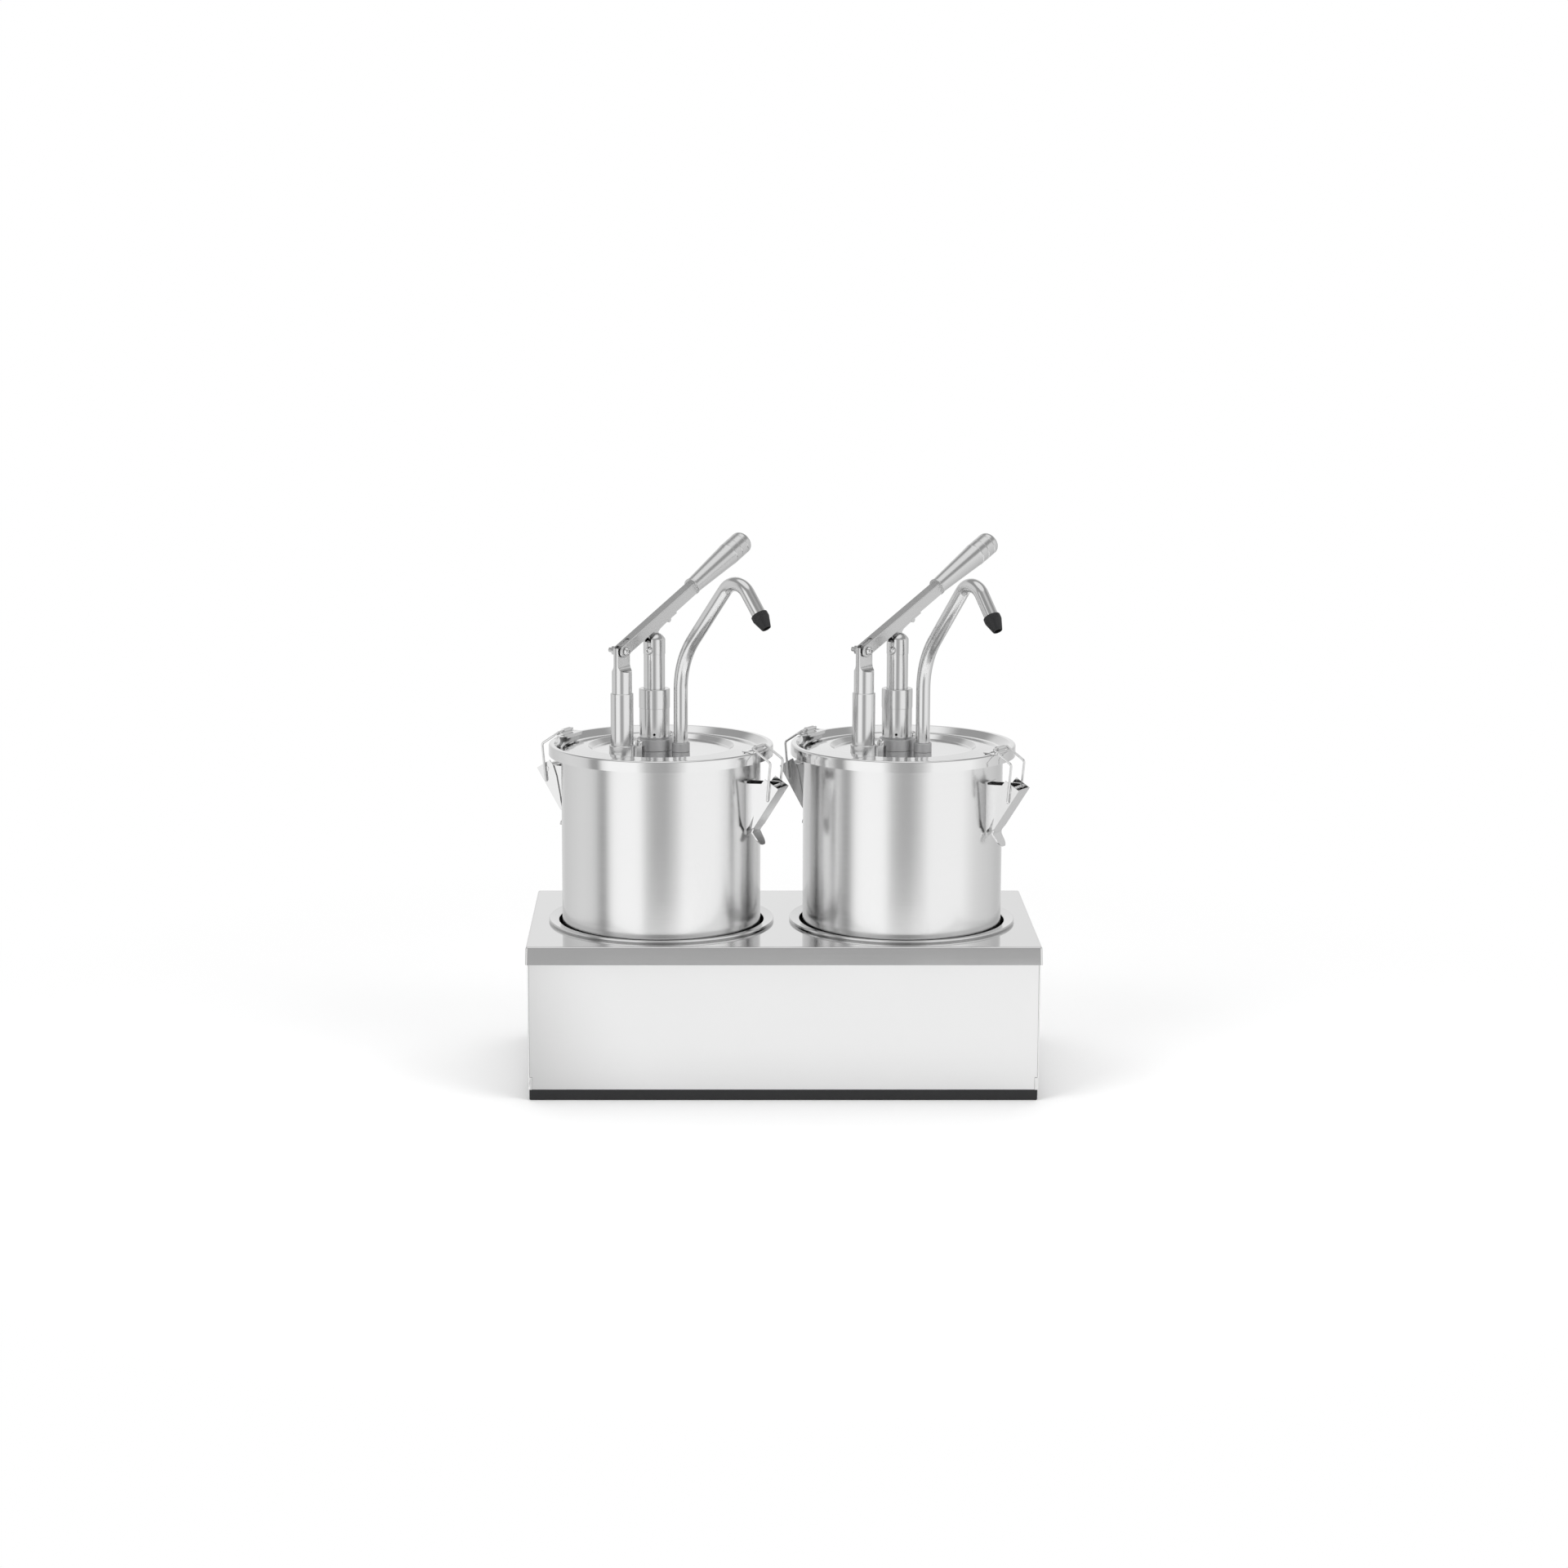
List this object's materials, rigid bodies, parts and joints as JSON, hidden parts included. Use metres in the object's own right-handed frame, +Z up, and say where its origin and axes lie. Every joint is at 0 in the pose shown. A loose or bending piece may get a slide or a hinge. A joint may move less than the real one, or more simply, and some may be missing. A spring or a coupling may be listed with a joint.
{
  "type": "sauce dispenser",
  "caption": "Countertop sauce dispenser: round lidded pots standing in a steel base box, each with a lever pump, a swivelling bent spout and toggle latches on the lid.",
  "frame": {"origin": "centre of the underside of the base frame", "axes": "+Z up, -Y towards the operator's side with the spouts, +X to the right seen from the front"},
  "size_m": [0.432, 0.228, 0.4566],
  "materials": {
    "base_steel": "satin",
    "brushed_pot": "brushed",
    "polished_lid": "polished",
    "polished_steel": "polished",
    "satin_lever": "satin",
    "satin_grip": "satin",
    "matte_ferrule": "matte",
    "latch_steel": "polished",
    "inner_steel": "satin",
    "spring_steel": "satin",
    "black_rubber": "matte"
  },
  "bodies": {
    "base": {"top_plate": "base_steel", "collar_rings": "polished_steel", "body_wrap": "base_steel", "side_panels": "base_steel", "base_frame": "black_rubber"},
    "pot_unit_left": {"pot_left": "brushed_pot", "lid_gasket_left": "black_rubber", "lid_left": "polished_lid", "lid_bolts_left": "polished_steel", "post_left": "polished_steel", "post_collar_left": "polished_steel", "pivot_bolt_left": "polished_steel", "lid_ferrules_left": "matte_ferrule", "pump_barrel_left": "polished_steel", "barrel_collar_left": "polished_steel", "valve_block_left": "inner_steel", "pump_tubes_left": "inner_steel", "return_spring_left": "spring_steel", "latch_brackets_left": "latch_steel", "latch_pins_left": "latch_steel"},
    "lever_left": {"lever_channel_left": "satin_lever", "drive_plate_left": "satin_lever", "handle_grip_left": "satin_grip"},
    "plunger_left": {"plunger_rod_left": "polished_steel", "plunger_cap_left": "polished_steel", "cap_fasteners_left": "polished_steel"},
    "spout_left": {"spout_tube_left": "polished_steel", "nozzle_left": "black_rubber"},
    "latch_front_left": {"latch_lever_front_left": "latch_steel"},
    "bail_front_left": {"latch_bail_front_left": "latch_steel"},
    "latch_rear_left": {"latch_lever_rear_left": "latch_steel"},
    "bail_rear_left": {"latch_bail_rear_left": "latch_steel"},
    "pot_unit_right": {"pot_right": "brushed_pot", "lid_gasket_right": "black_rubber", "lid_right": "polished_lid", "lid_bolts_right": "polished_steel", "post_right": "polished_steel", "post_collar_right": "polished_steel", "pivot_bolt_right": "polished_steel", "lid_ferrules_right": "matte_ferrule", "pump_barrel_right": "polished_steel", "barrel_collar_right": "polished_steel", "valve_block_right": "inner_steel", "pump_tubes_right": "inner_steel", "return_spring_right": "spring_steel", "latch_brackets_right": "latch_steel", "latch_pins_right": "latch_steel"},
    "lever_right": {"lever_channel_right": "satin_lever", "drive_plate_right": "satin_lever", "handle_grip_right": "satin_grip"},
    "plunger_right": {"plunger_rod_right": "polished_steel", "plunger_cap_right": "polished_steel", "cap_fasteners_right": "polished_steel"},
    "spout_right": {"spout_tube_right": "polished_steel", "nozzle_right": "black_rubber"},
    "latch_front_right": {"latch_lever_front_right": "latch_steel"},
    "bail_front_right": {"latch_bail_front_right": "latch_steel"},
    "latch_rear_right": {"latch_lever_rear_right": "latch_steel"},
    "bail_rear_right": {"latch_bail_rear_right": "latch_steel"}
  },
  "joints": [
    {"name": "pot_lift_left", "type": "slide", "parent": "base", "child": "pot_unit_left", "axis": [0, 0, 1], "range_m": [0, 0.14]},
    {"name": "lever_press_left", "type": "hinge", "parent": "pot_unit_left", "child": "lever_left", "pos_m": [-0.1359, -0.0403, 0.371], "axis": [-0.7978, 0.6029, 0], "range_deg": [0, 30], "stiffness_Nm_per_rad": 1.2, "springref_deg": -34.38},
    {"name": "plunger_stroke_left", "type": "slide", "parent": "pot_unit_left", "child": "plunger_left", "axis": [0, 0, -1], "range_m": [0, 0.0246], "deforming": ["return_spring_left"]},
    {"name": "spout_swivel_left", "type": "hinge", "parent": "pot_unit_left", "child": "spout_left", "pos_m": [-0.0865, -0.0162, 0.3], "axis": [0, 0, 1], "range_deg": [-50, 60]},
    {"name": "latch_open_front_left", "type": "hinge", "parent": "pot_unit_left", "child": "latch_front_left", "pos_m": [-0.00798, -0.05497, 0.2573], "axis": [-0.454, -0.891, 0], "range_deg": [0, 95]},
    {"name": "bail_follow_front_left", "type": "hinge", "parent": "latch_front_left", "child": "bail_front_left", "pos_m": [-0.00834, -0.05479, 0.247], "axis": [-0.454, -0.891, 0], "range_deg": [-96, 0]},
    {"name": "latch_open_rear_left", "type": "hinge", "parent": "pot_unit_left", "child": "latch_rear_left", "pos_m": [-0.19902, 0.04237, 0.2573], "axis": [0.454, 0.891, 0], "range_deg": [0, 95]},
    {"name": "bail_follow_rear_left", "type": "hinge", "parent": "latch_rear_left", "child": "bail_rear_left", "pos_m": [-0.19866, 0.04219, 0.247], "axis": [0.454, 0.891, 0], "range_deg": [-96, 0]},
    {"name": "pot_lift_right", "type": "slide", "parent": "base", "child": "pot_unit_right", "axis": [0, 0, 1], "range_m": [0, 0.14]},
    {"name": "lever_press_right", "type": "hinge", "parent": "pot_unit_right", "child": "lever_right", "pos_m": [0.06826, -0.03735, 0.371], "axis": [-0.7423, 0.6701, 0], "range_deg": [0, 30], "stiffness_Nm_per_rad": 1.2, "springref_deg": -34.38},
    {"name": "plunger_stroke_right", "type": "slide", "parent": "pot_unit_right", "child": "plunger_right", "axis": [0, 0, -1], "range_m": [0, 0.0246], "deforming": ["return_spring_right"]},
    {"name": "spout_swivel_right", "type": "hinge", "parent": "pot_unit_right", "child": "spout_right", "pos_m": [0.11957, -0.01764, 0.3], "axis": [0, 0, 1], "range_deg": [-50, 60]},
    {"name": "latch_open_front_right", "type": "hinge", "parent": "pot_unit_right", "child": "latch_front_right", "pos_m": [0.19441, -0.06311, 0.2573], "axis": [-0.5299, -0.848, 0], "range_deg": [0, 95]},
    {"name": "bail_follow_front_right", "type": "hinge", "parent": "latch_front_right", "child": "bail_front_right", "pos_m": [0.19407, -0.0629, 0.247], "axis": [-0.5299, -0.848, 0], "range_deg": [-96, 0]},
    {"name": "latch_open_rear_right", "type": "hinge", "parent": "pot_unit_right", "child": "latch_rear_right", "pos_m": [0.01259, 0.05051, 0.2573], "axis": [0.5299, 0.848, 0], "range_deg": [0, 95]},
    {"name": "bail_follow_rear_right", "type": "hinge", "parent": "latch_rear_right", "child": "bail_rear_right", "pos_m": [0.01293, 0.05029, 0.247], "axis": [0.5299, 0.848, 0], "range_deg": [-96, 0]}
  ],
  "couplings": [
    {"joint": "plunger_stroke_left", "follows": "lever_press_left", "m_per_rad": 0.046772},
    {"joint": "bail_follow_front_left", "follows": "latch_open_front_left", "ratio": -1},
    {"joint": "bail_follow_rear_left", "follows": "latch_open_rear_left", "ratio": -1},
    {"joint": "plunger_stroke_right", "follows": "lever_press_right", "m_per_rad": 0.046772},
    {"joint": "bail_follow_front_right", "follows": "latch_open_front_right", "ratio": -1},
    {"joint": "bail_follow_rear_right", "follows": "latch_open_rear_right", "ratio": -1}
  ]
}
